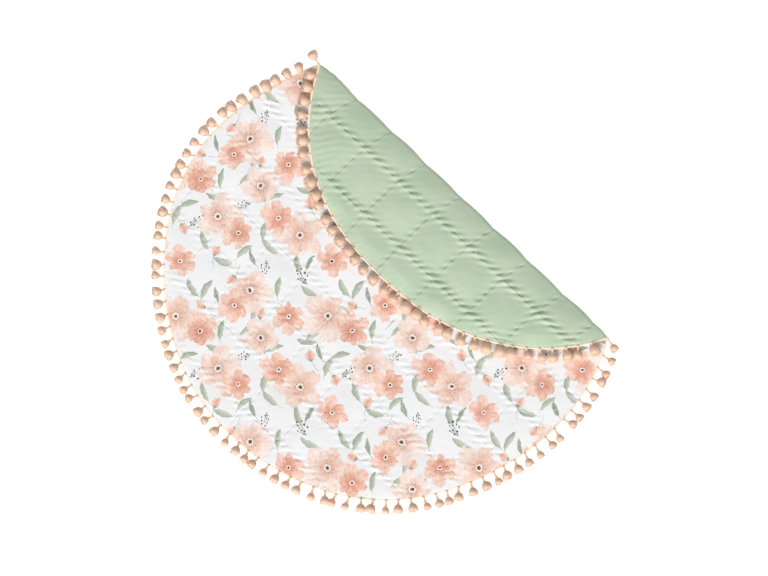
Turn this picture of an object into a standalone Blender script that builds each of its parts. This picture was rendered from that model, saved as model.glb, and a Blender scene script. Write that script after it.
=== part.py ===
"""A round quilted baby play mat, laid flat with its far part folded back over the rest.

The mat is worked out flat first. A flat place on it has two coordinates, along the fold and
across it, and a height through the padding. Its origin is the middle of the quilted puff nearest
the mat's centre. The function "placed" then bends the flat mat over the fold, and the empty that
carries every piece turns the mat to the direction in which it lies.
"""

import math
import random

import bmesh
import bpy
from mathutils import Vector, geometry

# Outline, in metres. The mat's centre is off the middle of the nearest puff by this much.
MAT_RADIUS = 0.500
CENTRE_ALONG = -0.024
CENTRE_ACROSS = -0.041
# The rim is a little uneven: (waves round the rim, size, turn of a crest in degrees).
RIM_WAVES = (
    (2, 0.0050, 75.0),
    (3, 0.0033, 64.0),
    (4, 0.0042, 60.0),
    (5, 0.0020, 42.0),
    (6, 0.0024, 20.0),
)
LIE_TURN = math.radians(-43.5)

# Quilting: a square grid of stitched lines, and the padding between them.
PUFF = 0.106
FULL_TOP = 0.0090
STITCH_TOP = 0.0050
SEAM_LOW = 0.0036
SEAM_HIGH = 0.0039
UNDER_CHANNEL = 0.0024
PUFF_SHAPE = 0.5
REST_FLATNESS = 1.7
RIM_TAPER = 0.030
PUFF_UNEVENNESS = 0.12

# The fold: where the bend starts, the cloth that it takes up, and how it opens out.
BEND_START = 0.190
BEND_LENGTH = 0.018
BEND_STEPS = 6
BEND_TOP = 0.0063
BEND_HEIGHT = 0.0073
BEND_STRETCH = 2.0
CLIMB = 0.057
FLAP_GAP = 0.0020
# The flap's puffs stand a little higher, with nothing pressing on them.
FLAP_RISE = 0.0020
# The cloth is pulled along the fold: how far, how soon that fades, and its start inside the rim.
PULL = 0.022
PULL_FADE = 0.048
PULL_RIM = 0.080

# Mesh spacing: the outer faces carry the puffs, the faces inside the seam are flat.
OUTER_STEP = PUFF / 4
INNER_STEP = PUFF / 2
RIM_POINTS = 144
RIM_CLEARANCE = 0.012
BEND_CLEARANCE = 0.008

# Pompom trim: a heading sewn along the rim, and the pompoms on it.
HEADING_GAP = 0.0006
HEADING_WIDTH = 0.0040
HEADING_LOW = 0.0020
HEADING_HIGH = 0.0054
LENGTH_GAP = 0.0004
STEM_HALF_WIDTH = 0.0022
NECK_HALF_WIDTH = 0.0019
HEAD_HALF_WIDTH = 0.0085
HEAD_LENGTH = 0.0130
HEAD_HEIGHT = 0.0150
HEAD_ROUNDING = 0.0045
POMPOM_REACH = 0.0250
CORNER_REACH = 0.0300
REACH_CHANGE = 0.0025
TUCKED_REACH = 0.0070
TUCKED_SPREAD = math.radians(12.0)
LONG_TURN = math.radians(91.5)
TUCKED_TURN = math.radians(288.5)
MOST_LEAN = math.radians(5.0)
MOST_SHIFT = math.radians(0.18)
FLAP_END = math.radians(59.3)
RIM_START = math.radians(65.0)
FLAP_LENGTHS = 4
RIM_LENGTHS = 8
POMPOMS_EACH = 9
REST_GAP = 0.0003

# Colours, as linear red, green, blue.
PRINT_WHITE = (0.84, 0.80, 0.76)
SAGE = (0.47, 0.61, 0.43)
PEACH_YARN = (0.80, 0.48, 0.30)


def rim_radius(turn):
    """Distance of the rim from the mat's centre. Turn 0 points away from the fold's near side."""
    waves = sum(
        size * math.cos(count * (turn - math.radians(crest)))
        for count, size, crest in RIM_WAVES
    )
    return MAT_RADIUS + waves


def rim_place(turn, outset=0.0):
    """Flat place on the rim, or the given distance outside it."""
    radius = rim_radius(turn) + outset
    return (
        CENTRE_ALONG + radius * math.sin(turn),
        CENTRE_ACROSS + radius * math.cos(turn),
    )


def rim_turn_at(across, side):
    """Turn at which the rim crosses a line parallel to the fold, on side -1 or +1."""
    low, high = 0.0, math.pi
    for _ in range(50):
        middle = (low + high) / 2
        if rim_place(side * middle)[1] > across:
            low = middle
        else:
            high = middle
    return side * low


def inside_rim(along, across):
    """How far a flat place lies inside the rim."""
    turn = math.atan2(along - CENTRE_ALONG, across - CENTRE_ACROSS)
    radius = math.hypot(along - CENTRE_ALONG, across - CENTRE_ACROSS)
    return rim_radius(turn) - radius


def puff_fullness(along, across):
    """Some puffs hold a little less padding than others."""
    column = math.floor(along / PUFF + 0.5)
    row = math.floor(across / PUFF + 0.5)
    return 1.0 - PUFF_UNEVENNESS * (0.5 + 0.5 * math.sin(2.4 * column + 4.1 * row))


def pillow(along, across):
    """0 on the stitched lines and at the rim, up to 1 in the middle of a puff."""
    rise_along = abs(math.cos(math.pi * along / PUFF))
    rise_across = abs(math.cos(math.pi * across / PUFF))
    from_rim = min(1.0, max(0.0, inside_rim(along, across)) / RIM_TAPER)
    shape = (rise_along * rise_across * from_rim) ** PUFF_SHAPE
    return shape * puff_fullness(along, across)


def from_bend(across):
    """Distance from the bend along the cloth, on the lower layer or on the flap."""
    return max(0.0, BEND_START - across, across - BEND_START - BEND_LENGTH)


def climb_share(across):
    """0 in the bend, 1 where the padding has its full height again."""
    return min(1.0, from_bend(across) / CLIMB)


def outer_low(along, across):
    """Height of the backing's outer face: flat on the floor, puffed on the flap."""
    puff = pillow(along, across)
    if across <= BEND_START:
        return UNDER_CHANNEL * (1.0 - min(1.0, REST_FLATNESS * puff))
    return UNDER_CHANNEL * (1.0 - puff) - FLAP_RISE * puff * climb_share(across)


def outer_high(along, across):
    """Height of the printed outer face, pressed thinner towards the bend."""
    full = BEND_TOP + (FULL_TOP - BEND_TOP) * climb_share(across)
    return STITCH_TOP + (full - STITCH_TOP) * pillow(along, across)


def pulled(along, across):
    """Where a place comes to lie along the fold, once the cloth is pulled."""
    share = min(1.0, max(0.0, inside_rim(along, across)) / PULL_RIM)
    fade = math.exp(-from_bend(across) / PULL_FADE)
    return along + PULL * fade * share * share * (3.0 - 2.0 * share)


def placed(along, across, height):
    """Bends a flat place over the fold, round a line that lies along it."""
    along = pulled(along, across)
    middle = BEND_HEIGHT + (FULL_TOP + FLAP_GAP / 2 - BEND_HEIGHT) * climb_share(across)
    past = across - BEND_START
    if past <= 0:
        return Vector((along, across, height))
    if past >= BEND_LENGTH:
        return Vector((along, BEND_START - (past - BEND_LENGTH), 2 * middle - height))
    angle = math.pi * past / BEND_LENGTH
    reach = BEND_HEIGHT - height
    return Vector(
        (
            along,
            BEND_START + BEND_STRETCH * reach * math.sin(angle),
            BEND_HEIGHT - reach * math.cos(angle),
        )
    )


def bend_rows():
    """The lines across which the cloth turns, from the start of the bend to its end."""
    return [BEND_START + BEND_LENGTH * step / BEND_STEPS for step in range(BEND_STEPS + 1)]


def rim_turns():
    """Turns of the rim's points in order, with a point at each end of every bend row."""
    crossings = [rim_turn_at(across, side) for across in bend_rows() for side in (-1, 1)]
    spacing = 2 * math.pi / RIM_POINTS
    even = [-math.pi + spacing * number for number in range(RIM_POINTS)]
    kept = [
        turn
        for turn in even
        if min(abs(turn - crossing) for crossing in crossings) > spacing / 3
    ]
    return sorted(kept + crossings)


def flat_sheet(step):
    """The flat mat as triangles, its rim points first, on a grid in line with the quilting."""
    points = [rim_place(turn) for turn in rim_turns()]
    rim_count = len(points)
    reach = math.ceil((MAT_RADIUS + PUFF) / step)
    lines = [step * number for number in range(-reach, reach + 1)]
    rows = [across for across in lines if from_bend(across) > BEND_CLEARANCE]
    points += [
        (along, across)
        for across in rows + bend_rows()
        for along in lines
        if inside_rim(along, across) > RIM_CLEARANCE
    ]
    rim_edges = [(number, (number + 1) % rim_count) for number in range(rim_count)]
    flat = [Vector(point) for point in points]
    filled = geometry.delaunay_2d_cdt(flat, rim_edges, [], 1, 1e-7)
    return filled[0], filled[2], rim_count


def new_object(name, mesh_data, colour, roughness):
    """Adds a piece to the scene, with its material, on the empty that carries the mat."""
    bmesh.ops.recalc_face_normals(mesh_data, faces=mesh_data.faces)
    mesh = bpy.data.meshes.new(name)
    mesh_data.to_mesh(mesh)
    mesh_data.free()
    mesh.shade_smooth()
    material = bpy.data.materials.new(name)
    material.use_nodes = True
    surface = material.node_tree.nodes["Principled BSDF"]
    surface.inputs["Base Color"].default_value = (*colour, 1.0)
    surface.inputs["Roughness"].default_value = roughness
    surface.inputs["Metallic"].default_value = 0.0
    mesh.materials.append(material)
    piece = bpy.data.objects.new(name, mesh)
    piece.parent = bpy.data.objects["play_mat_carrier"]
    bpy.data.collections["baby_play_mat"].objects.link(piece)
    return piece


def add_sheet(mesh_data, sheet, height_at):
    """Adds one face of a panel and returns its rim vertices in order."""
    points, triangles, rim_count = sheet
    corners = [mesh_data.verts.new(placed(x, y, height_at(x, y))) for x, y in points]
    for triangle in triangles:
        mesh_data.faces.new([corners[number] for number in triangle])
    return corners[:rim_count]


def add_panel(name, outer_height, seam_height, colour):
    """A quilted panel: its puffed outer face, its flat face inside the seam, and its cut edge."""
    mesh_data = bmesh.new()
    outer_rim = add_sheet(mesh_data, flat_sheet(OUTER_STEP), outer_height)
    inner_rim = add_sheet(mesh_data, flat_sheet(INNER_STEP), lambda x, y: seam_height)
    for number, corner in enumerate(outer_rim):
        following = (number + 1) % len(outer_rim)
        mesh_data.faces.new(
            (corner, outer_rim[following], inner_rim[following], inner_rim[number])
        )
    return new_object(name, mesh_data, colour, 0.85)


def pompom_reach(turn):
    """How far a pompom reaches beyond the heading, shorter where the trim is tucked in."""
    off_tuck = (turn - TUCKED_TURN + math.pi) % (2 * math.pi) - math.pi
    tucked = TUCKED_REACH * math.exp(-((off_tuck / TUCKED_SPREAD) ** 2))
    return POMPOM_REACH + REACH_CHANGE * math.cos(turn - LONG_TURN) - tucked


def add_pompom(mesh_data, root, outward, reach, rest):
    """A four-sided lock on the heading: a narrow stem, then a head that rests level."""
    start = sum((corner.co for corner in root), Vector()) / 4
    sideways = Vector((-outward.y, outward.x, 0.0))
    head_middle = rest + HEAD_HEIGHT / 2
    neck_middle = (start.z + head_middle) / 2
    # Distance from the heading, half width, low and high.
    rings = (
        (
            reach - HEAD_LENGTH - HEAD_ROUNDING,
            NECK_HALF_WIDTH,
            neck_middle - NECK_HALF_WIDTH,
            neck_middle + NECK_HALF_WIDTH,
        ),
        (reach - HEAD_LENGTH + HEAD_ROUNDING / 2, HEAD_HALF_WIDTH, rest, rest + HEAD_HEIGHT),
        (reach, HEAD_HALF_WIDTH - HEAD_ROUNDING / 3, rest, rest + HEAD_HEIGHT - HEAD_ROUNDING / 2),
    )
    previous = root
    for distance, half_width, low, high in rings:
        ring = []
        for corner in root:
            offset = corner.co - start
            side = math.copysign(half_width, offset.dot(sideways))
            place = start + outward * distance + sideways * side
            place.z = high if offset.z > 0 else low
            ring.append(mesh_data.verts.new(place))
        for number in range(4):
            following = (number + 1) % 4
            mesh_data.faces.new(
                (previous[number], previous[following], ring[following], ring[number])
            )
        previous = ring
    mesh_data.faces.new(previous)


def heading_section(mesh_data, turn):
    """The heading's four corners at one turn: inner low, outer low, outer high, inner high."""
    inner = rim_place(turn, HEADING_GAP)
    outer = rim_place(turn, HEADING_GAP + HEADING_WIDTH)
    corners = (
        (*inner, HEADING_LOW),
        (*outer, HEADING_LOW),
        (*outer, HEADING_HIGH),
        (*inner, HEADING_HIGH),
    )
    return [mesh_data.verts.new(placed(*corner)) for corner in corners]


def outward_at(turn, lean):
    """Level direction from the mat's edge, as folded, turned by a small lean."""
    near = placed(*rim_place(turn), HEADING_LOW)
    far = placed(*rim_place(turn, HEADING_WIDTH), HEADING_LOW)
    direction = (far - near).to_2d().normalized()
    cosine, sine = math.cos(lean), math.sin(lean)
    return Vector(
        (
            cosine * direction.x - sine * direction.y,
            sine * direction.x + cosine * direction.y,
            0.0,
        )
    )


def add_trim(name, first_turn, last_turn, pompoms, inner_turns, rest, chance):
    """One length of trim: the heading from end to end, with its pompoms fused to it.

    Each pompom is its turn and its reach. Inner turns are more places where the heading bends.
    """
    half_stem = STEM_HALF_WIDTH / MAT_RADIUS
    mesh_data = bmesh.new()
    stations = {turn: None for turn in (first_turn, last_turn, *inner_turns)}
    for turn, reach in pompoms:
        stations[turn - half_stem] = (turn, reach)
        stations[turn + half_stem] = None
    ordered = sorted(stations)
    sections = [heading_section(mesh_data, turn) for turn in ordered]
    for start, near, far in zip(ordered, sections, sections[1:]):
        pompom = stations[start]
        for side in range(4):
            following = (side + 1) % 4
            if side == 1 and pompom:
                continue
            mesh_data.faces.new((near[side], near[following], far[following], far[side]))
        if pompom:
            turn, reach = pompom
            outward = outward_at(turn, chance.uniform(-MOST_LEAN, MOST_LEAN))
            root = (near[1], far[1], far[2], near[2])
            add_pompom(mesh_data, root, outward, reach, rest)
    mesh_data.faces.new(sections[0])
    mesh_data.faces.new(sections[-1])
    return new_object(name, mesh_data, PEACH_YARN, 0.95)


def add_straight_trims(name, first_turn, last_turn, count, rest, chance):
    """The lengths of trim between two turns of the rim, with evenly shared pompoms."""
    share = (last_turn - first_turn) / count
    half_gap = LENGTH_GAP / MAT_RADIUS / 2
    for number in range(count):
        start = first_turn + share * number
        turns = [
            start + share * (place + 0.5) / POMPOMS_EACH + chance.uniform(-MOST_SHIFT, MOST_SHIFT)
            for place in range(POMPOMS_EACH)
        ]
        ends = (start + half_gap, start + share - half_gap)
        pompoms = [(turn, pompom_reach(turn)) for turn in turns]
        add_trim(f"{name}_{number + 1}", *ends, pompoms, (), rest, chance)


def add_corner_trim(name, side, chance):
    """The short length round one end of the fold, with the lone pompom at its tip."""
    half_gap = LENGTH_GAP / MAT_RADIUS / 2
    ends = sorted((side * (FLAP_END + half_gap), side * (RIM_START - half_gap)))
    turns = [rim_turn_at(across, side) for across in bend_rows()]
    tip = rim_turn_at(BEND_START + BEND_LENGTH / 2, side)
    kept = [turn for turn in turns if abs(turn - tip) > 1.2 * STEM_HALF_WIDTH / MAT_RADIUS]
    add_trim(name, *ends, [(tip, CORNER_REACH)], kept, 0.0, chance)


def clear_scene():
    for old in list(bpy.data.objects):
        bpy.data.objects.remove(old, do_unlink=True)


def main():
    clear_scene()
    collection = bpy.data.collections.new("baby_play_mat")
    bpy.context.scene.collection.children.link(collection)
    carrier = bpy.data.objects.new("play_mat_carrier", None)
    carrier.rotation_euler.z = LIE_TURN
    collection.objects.link(carrier)
    add_panel("front_panel", outer_high, SEAM_HIGH, PRINT_WHITE)
    add_panel("back_panel", outer_low, SEAM_LOW, SAGE)
    chance = random.Random(7)
    on_print = FULL_TOP + REST_GAP
    add_straight_trims("trim_flap", -FLAP_END, FLAP_END, FLAP_LENGTHS, on_print, chance)
    add_straight_trims(
        "trim_rim", RIM_START, 2 * math.pi - RIM_START, RIM_LENGTHS, 0.0, chance
    )
    add_corner_trim("trim_corner_left", -1, chance)
    add_corner_trim("trim_corner_right", 1, chance)


main()
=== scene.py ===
"""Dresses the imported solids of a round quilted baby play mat, folded back over itself.

The mat is worked out flat, in the same frame as its solids: one coordinate along the fold, one
across it, and a height through the padding. "folded" then bends it, so the cloth, the trim and
the pompoms all lie where the solids do. All lengths are in metres.
"""

import math
import random
from functools import partialmethod

import bmesh
import bpy
import numpy as np
from bpy.props import FloatProperty, FloatVectorProperty, IntProperty, PointerProperty
from bpy.types import Operator, Panel, PropertyGroup
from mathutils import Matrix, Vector


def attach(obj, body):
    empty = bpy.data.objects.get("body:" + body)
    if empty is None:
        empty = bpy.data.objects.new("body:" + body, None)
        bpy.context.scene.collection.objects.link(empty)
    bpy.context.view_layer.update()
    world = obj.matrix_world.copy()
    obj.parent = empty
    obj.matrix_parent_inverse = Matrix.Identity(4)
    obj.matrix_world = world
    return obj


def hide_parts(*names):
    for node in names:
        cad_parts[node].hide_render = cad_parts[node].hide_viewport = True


bl_info = {
    "name": "Quilted Play Mat",
    "version": (1, 0, 0),
    "blender": (4, 5, 0),
    "location": "3D View > Sidebar > Play Mat",
    "description": "Cloth, print, sewing and pompom trim of a round quilted play mat",
    "category": "Object",
}

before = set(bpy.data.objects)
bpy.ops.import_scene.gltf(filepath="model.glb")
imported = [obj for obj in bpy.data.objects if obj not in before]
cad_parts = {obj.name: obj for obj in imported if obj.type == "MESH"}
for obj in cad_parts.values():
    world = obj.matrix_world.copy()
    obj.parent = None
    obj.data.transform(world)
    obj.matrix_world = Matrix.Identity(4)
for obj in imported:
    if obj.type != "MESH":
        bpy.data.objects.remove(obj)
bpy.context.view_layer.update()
BODY = "root"

# The flat mat and its fold, as in the solids.
MAT_RADIUS = 0.500
CENTRE_ALONG = -0.024
CENTRE_ACROSS = -0.041
RIM_WAVES = (
    (2, 0.0050, 75.0),
    (3, 0.0033, 64.0),
    (4, 0.0042, 60.0),
    (5, 0.0020, 42.0),
    (6, 0.0024, 20.0),
)
LIE_TURN = math.radians(-43.5)
PUFF = 0.106
FULL_TOP = 0.0090
SEAM_LOW = 0.0036
SEAM_HIGH = 0.0039
UNDER_CHANNEL = 0.0024
REST_FLATNESS = 1.7
RIM_TAPER = 0.030
PUFF_UNEVENNESS = 0.12
BEND_START = 0.190
BEND_LENGTH = 0.018
BEND_TOP = 0.0063
BEND_HEIGHT = 0.0073
BEND_STRETCH = 2.0
CLIMB = 0.057
FLAP_GAP = 0.0020
PULL = 0.022
PULL_FADE = 0.048
PULL_RIM = 0.080

# How far the bend has turned where it ends. It closes by the first stitched line on the flap,
# while the solids turn over at once.
BEND_ANGLE = math.radians(160.0)

# The quilting's own relief, unlike the solids': shallower lines and narrower puffs on the print,
# and deeper lines and higher puffs on the flap.
STITCH_TOP = 0.0062
PUFF_SHAPE = 0.66
FLAP_CHANNEL = 0.0031
FLAP_RISE = 0.0034

# The creases: their pitch, how far they reach from the stitched lines, and how they come in from
# the rim at the flap's far end.
CREASE_PITCH = 0.0150
FOLD_LINE_FADE = 0.0100
CROSS_LINE_FADE = 0.0075
FAR_END_TURN = -0.85
FAR_END_SPREAD = 0.28
FAR_END_FADE = 0.045

# The trim, as in the solids.
HEADING_GAP = 0.0006
HEADING_WIDTH = 0.0040
HEADING_LOW = 0.0020
HEADING_HIGH = 0.0054
POMPOM_REACH = 0.0250
REACH_CHANGE = 0.0025
TUCKED_REACH = 0.0070
TUCKED_SPREAD = math.radians(12.0)
CORNER_REACH = 0.0300
LONG_TURN = math.radians(91.5)
TUCKED_TURN = math.radians(288.5)
MOST_LEAN = math.radians(5.0)
MOST_SHIFT = math.radians(0.18)
FLAP_END = math.radians(59.3)
RIM_START = math.radians(65.0)
FLAP_LENGTHS = 4
RIM_LENGTHS = 8
POMPOMS_EACH = 9
REST_GAP = 0.0003

# The loose yarn: how far past its solid it reaches, how flat it rests, and how much wider and
# longer the heads are on the flap.
YARN_PAST = 0.0055
YARN_LEAN = 3.6
HEAD_FLATNESS = 0.66
FLAP_FULLER = 1.12

# The heading's mesh and twist.
HEADING_STATIONS = 2600
HEADING_SIDES = 10
TWIST_LENGTH = 0.0092
PLY_DEPTH = 0.16

# The photograph's frame: its width on the floor, and the mat's centre in it.
FRAME_PIXELS = (768, 576)
METRES_PER_PIXEL = 0.002246
CENTRE_PIXEL = (387.6, 276.8)
CAMERA_HEIGHT = 4.0
SENSOR = 36.0

# The light. The floor and the loose yarn give off a little of it themselves.
ROOM_LIGHT = 0.38
WINDOW_LIGHT = 3.30
WINDOW_ANGLE = math.radians(36.0)
WINDOW_DIRECTION = (0.25, 0.95, -0.80)
FLOOR_HALF = 6.0
FLOOR_LEVEL = -0.0002
FLOOR_GLOW = 0.60
YARN_GLOW = 0.16

# Mesh spacing of the cloth.
CLOTH_CELLS = 270
SEAM_CELLS = 60
SEAM_REACH = 0.985
FINE_BEND_STEPS = 12
UV_SPAN = 1.2


def shade(red, green, blue):
    """A colour given as seen on a screen, 0 to 255, as linear values."""
    seen = [value / 255 for value in (red, green, blue)]
    return tuple(v / 12.92 if v <= 0.04045 else ((v + 0.055) / 1.055) ** 2.4 for v in seen)


# Sizes and colours that a user would change


def length_property(name, description, default):
    return FloatProperty(
        name=name, description=description, default=default, min=0.0, unit="LENGTH", precision=5
    )


def colour_property(name, description, seen):
    return FloatVectorProperty(
        name=name, description=description, default=shade(*seen), subtype="COLOR", min=0.0, max=1.0
    )


class MatCloth(PropertyGroup):
    pucker: length_property("Pucker height", "Height of the wrinkles beside a stitched line", 0.0030)
    print_pucker: length_property("Print pucker height", "Wrinkle height on the print", 0.0005)
    thread: length_property("Thread pitch", "Pitch of the weave's threads", 0.0007)
    sage: colour_property("Sage", "Backing cotton", (191, 207, 182))
    ground: colour_property("Ground", "Unprinted cotton between the flowers", (241, 241, 242))
    deep_bloom: colour_property("Deep bloom", "Peach flowers", (224, 162, 138))
    pale_bloom: colour_property("Pale bloom", "Blush flowers", (232, 192, 172))
    leaf: colour_property("Leaf", "Pale leaves", (158, 170, 148))
    dark_leaf: colour_property("Dark leaf", "Leaf veins and outlines", (80, 92, 84))
    berry: colour_property("Berry", "Berries and flower centres", (50, 52, 50))


class MatTrim(PropertyGroup):
    yarn: colour_property("Yarn", "Pompom yarn", (232, 204, 183))
    heading: colour_property("Heading", "Twisted heading along the rim", (243, 221, 196))
    head_width: length_property("Pompom width", "Width of a pompom's head", 0.0236)
    head_length: length_property("Pompom length", "Length of a pompom's head", 0.0208)
    strands: IntProperty(
        name="Strands", description="Strands of yarn in a pompom", default=130, min=20, max=200
    )
    strand_radius: length_property("Strand radius", "Radius of a strand of yarn", 0.00075)


# The flat mat, as arrays


def rim_radius(turn):
    """Radius = mat radius + the sum over the waves of size * cos(count * (turn - crest))."""
    waves = [
        size * np.cos(count * (turn - math.radians(crest))) for count, size, crest in RIM_WAVES
    ]
    return MAT_RADIUS + sum(waves)


def rim_place(turn, outset):
    """Flat place at a turn, the given distance outside the rim."""
    radius = rim_radius(turn) + outset
    return CENTRE_ALONG + radius * np.sin(turn), CENTRE_ACROSS + radius * np.cos(turn)


def polar(along, across):
    """Turn about the mat's centre, and distance inside the rim."""
    turn = np.arctan2(along - CENTRE_ALONG, across - CENTRE_ACROSS)
    radius = np.hypot(along - CENTRE_ALONG, across - CENTRE_ACROSS)
    return turn, rim_radius(turn) - radius


def pillow(along, across):
    """Puff = (|cos(pi x / pitch)| * |cos(pi y / pitch)| * rim taper) ^ shape, less in some puffs.

    Between the creases that cross a stitched line the cloth bridges it, so the puff is fuller.
    """
    column = np.floor(along / PUFF + 0.5)
    row = np.floor(across / PUFF + 0.5)
    fullness = 1.0 - PUFF_UNEVENNESS * (0.5 + 0.5 * np.sin(2.4 * column + 4.1 * row))
    _, inside = polar(along, across)
    taper = np.clip(inside / RIM_TAPER, 0.0, 1.0)
    rise = np.abs(np.cos(np.pi * along / PUFF)) * np.abs(np.cos(np.pi * across / PUFF))
    puff = (rise * taper) ** PUFF_SHAPE
    off_along, off_across = line_offsets(along, across)
    across_fold = 0.35 * np.exp(-((off_along / 0.007) ** 2))
    along_fold = 0.70 * np.exp(-((off_across / 0.009) ** 2))
    bridge = np.maximum(across_fold, along_fold) * crease_wave(along, across) * taper
    return fullness * (puff + (1.0 - puff) * bridge)


def line_offsets(along, across):
    """Signed distances from the nearest stitched line of each direction."""
    return (
        PUFF * (along / PUFF - np.floor(along / PUFF) - 0.5),
        PUFF * (across / PUFF - np.floor(across / PUFF) - 0.5),
    )


def crease_wave(along, across):
    """Wave = sqrt(0.5 + 0.5 sin(2 pi y / pitch + sway)), with y up the photograph, from 0 to 1.

    It is round on top and sharp below.
    """
    place = folded(along, across, np.zeros_like(along))
    x, y = place[..., 0], place[..., 1]
    sway = 1.1 * np.sin(x / 0.027 + y / 0.08) + 0.9 * np.sin(x / 0.0153 - y / 0.05 + 2.0)
    return np.sqrt(0.5 + 0.5 * np.sin(2 * np.pi * y / CREASE_PITCH + sway))


def climb_share(across):
    """0 in the bend, rising as a quarter of a sine to 1 at the first stitched line on the flap."""
    return np.sin(np.pi / 2 * np.clip(from_bend(across) / CLIMB, 0.0, 1.0))


def from_bend(across):
    """Distance from the bend along the cloth, on the lower layer or on the flap."""
    return np.maximum(0.0, np.maximum(BEND_START - across, across - BEND_START - BEND_LENGTH))


def creases(along, across):
    """Creases that run level across the photograph, gathered by the stitched lines.

    The wave's strength fades with the distance from a stitched line, more slowly below each
    crossing, and on the flap's far end it also comes in from the rim.
    """
    off_along, off_across = line_offsets(along, across)
    column, row = np.floor(along / PUFF), np.floor(across / PUFF)
    change = 0.75 + 0.25 * np.sin(1.9 * column + 3.1 * row + along / 0.023 - across / 0.031)
    on_line = np.maximum(
        np.exp(-np.abs(off_across) / FOLD_LINE_FADE),
        0.50 * np.exp(-np.abs(off_along) / CROSS_LINE_FADE),
    )
    turned = np.where(across > BEND_START, -off_across, off_across)
    right = math.cos(LIE_TURN) * off_along - math.sin(LIE_TURN) * turned
    up = math.sin(LIE_TURN) * off_along + math.cos(LIE_TURN) * turned
    below = 1.3 * np.exp(-((right / 0.022) ** 2) - ((up + 0.010) / 0.015) ** 2)
    turn, inside = polar(along, across)
    far_end = np.exp(-(((turn - FAR_END_TURN) / FAR_END_SPREAD) ** 2))
    far_end = far_end * np.exp(-np.maximum(inside, 0.0) / FAR_END_FADE)
    patchy = 0.7 + 0.5 * np.sin(along / 0.017 + 1.7 * np.sin(across / 0.023))
    strength = np.maximum(np.maximum(on_line * change, below * change), 1.5 * far_end * patchy)
    return crease_wave(along, across) * strength * np.clip(inside / 0.006, 0.0, 1.0)


def rim_puckers(along, across):
    """Gathers that run in from the sewn rim: cos(count * turn), fading inwards."""
    turn, inside = polar(along, across)
    sway = 0.6 * np.sin(7 * turn) + 0.5 * np.sin(17 * turn + 1.0)
    return np.cos(230 * turn + 3 * sway) * np.exp(-np.maximum(inside, 0.0) / 0.010)


def soft_uneven(along, across):
    """Slow unevenness of the padding: three crossed waves."""
    return (
        np.sin(along / 0.041 + 0.6 * np.sin(across / 0.06))
        + np.sin(across / 0.037 + 0.8 * np.sin(along / 0.05) + 1.3)
        + np.sin((along + across) / 0.029 + 2.1)
    ) / 3


def wrinkles(along, across, height):
    """All the fine relief of one face of the quilt, for a given wrinkle height."""
    return height * (creases(along, across) + 0.2 * rim_puckers(along, across))


def front_height(along, across, cloth):
    """Height of the printed face: padding between stitched lines, with its wrinkles."""
    full = BEND_TOP + (FULL_TOP - BEND_TOP) * climb_share(across)
    puff = pillow(along, across)
    fine = wrinkles(along, across, cloth.print_pucker)
    uneven = 0.0004 * puff * soft_uneven(along, across)
    return np.maximum(STITCH_TOP + (full - STITCH_TOP) * puff + fine + uneven, SEAM_HIGH + 0.0004)


def back_height(along, across, cloth):
    """Height of the backing's face: pressed flat on the floor, puffed on the flap."""
    puff = pillow(along, across)
    fine = wrinkles(along, across, cloth.pucker)
    pressed = np.minimum(1.0, REST_FLATNESS * puff)
    under = UNDER_CHANNEL * (1.0 - pressed) + 0.4 * np.abs(fine) * (1.0 - pressed)
    share = climb_share(across)
    channel = UNDER_CHANNEL + (FLAP_CHANNEL - UNDER_CHANNEL) * share
    uneven = 0.0005 * puff * soft_uneven(along, across)
    flap = channel * (1.0 - puff) - FLAP_RISE * share * puff - fine * (0.4 + 0.6 * share) - uneven
    height = np.where(across <= BEND_START, under, flap)
    return np.minimum(height, SEAM_LOW - 0.0004)


def folded(along, across, height):
    """Places of the flat mat after folding, an array of points.

    Lower layer: as it lies. Bend: an ellipse about a line along the fold, y = stretch * r sin a,
    z = middle - r cos a, with r = middle - height. The angle a reaches 160 degrees at the end of
    the bend and 180 at the first stitched line on the flap, which from there lies upside down.
    Near the bend the cloth is pulled along the fold, though not at the rim. The whole is turned
    about Z to the direction in which it lies.
    """
    _, inside = polar(along, across)
    share = np.clip(inside / PULL_RIM, 0.0, 1.0)
    pull = PULL * np.exp(-from_bend(across) / PULL_FADE) * share * share * (3.0 - 2.0 * share)
    along = along + pull
    middle = BEND_HEIGHT + (FULL_TOP + FLAP_GAP / 2 - BEND_HEIGHT) * climb_share(across)
    past = across - BEND_START
    bent = BEND_ANGLE * np.clip(past / BEND_LENGTH, 0.0, 1.0)
    angle = bent + (np.pi - BEND_ANGLE) * np.where(past > 0, climb_share(across), 0.0)
    reach = middle - height
    start = BEND_START - np.maximum(past - BEND_LENGTH, 0.0)
    lower = past <= 0
    out_across = np.where(lower, across, start + BEND_STRETCH * reach * np.sin(angle))
    out_height = np.where(lower, height, middle - reach * np.cos(angle))
    cosine, sine = math.cos(LIE_TURN), math.sin(LIE_TURN)
    return np.stack(
        (cosine * along - sine * out_across, sine * along + cosine * out_across, out_height), axis=-1
    )


# Meshes from arrays


def new_piece(name, points, corners, sizes, finish, nodes, faces_down=False):
    """Makes a mesh object from points and faces, given as joined corner numbers and face sizes."""
    mesh = bpy.data.meshes.new(name)
    mesh.vertices.add(len(points))
    mesh.vertices.foreach_set("co", np.asarray(points, np.float32).ravel())
    mesh.loops.add(len(corners))
    mesh.loops.foreach_set("vertex_index", np.asarray(corners, np.int32))
    starts = np.concatenate(([0], np.cumsum(sizes)[:-1]))
    mesh.polygons.add(len(sizes))
    mesh.polygons.foreach_set("loop_start", starts.astype(np.int32))
    mesh.update(calc_edges=True)
    mesh.validate()
    if faces_down:
        mesh.flip_normals()
    mesh.shade_smooth()
    mesh.materials.append(finish)
    piece = bpy.data.objects.new(name, mesh)
    bpy.context.scene.collection.objects.link(piece)
    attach(piece, BODY)
    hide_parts(*nodes)
    return piece


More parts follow.
